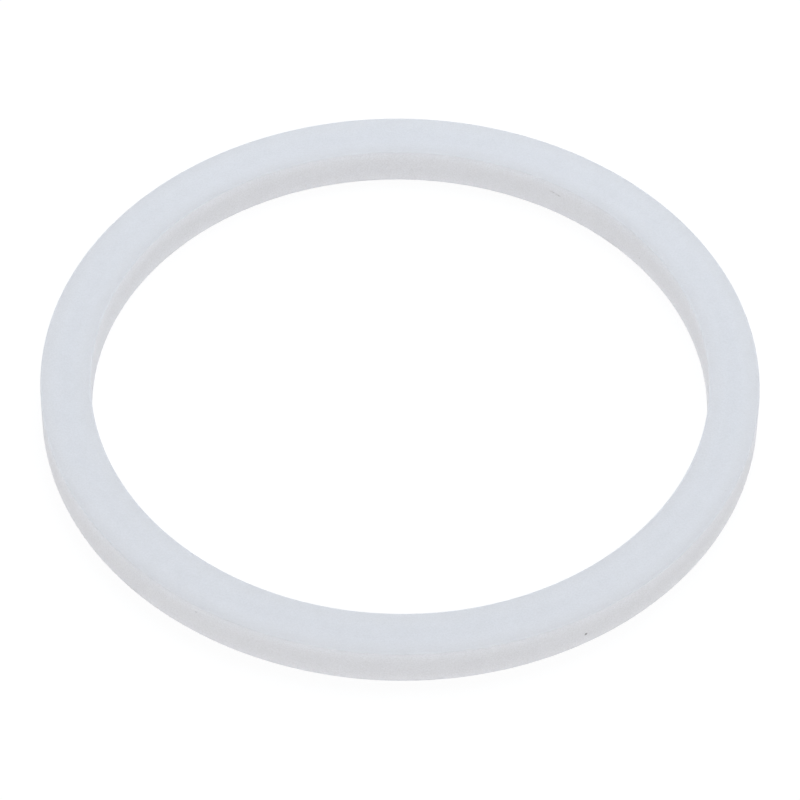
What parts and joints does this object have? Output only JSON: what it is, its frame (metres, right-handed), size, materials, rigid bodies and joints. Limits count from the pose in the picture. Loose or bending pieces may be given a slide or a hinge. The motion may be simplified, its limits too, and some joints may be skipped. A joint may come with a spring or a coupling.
{
  "type": "ptfe gasket",
  "caption": "Flat white PTFE sealing ring of rectangular section with lightly broken edges, clamped between the ends of a sanitary tube union.",
  "frame": {"origin": "centre of the ring's lower face", "axes": "+Z along the ring's axis, from the lower face to the upper face; the ring is round, so +X and +Y are free"},
  "size_m": [0.07, 0.07, 0.004],
  "materials": {
    "ptfe": "matte white PTFE, turned, slightly waxy and translucent at its edges"
  },
  "bodies": {
    "root": {"gasket_ring": "ptfe"}
  },
  "joints": []
}
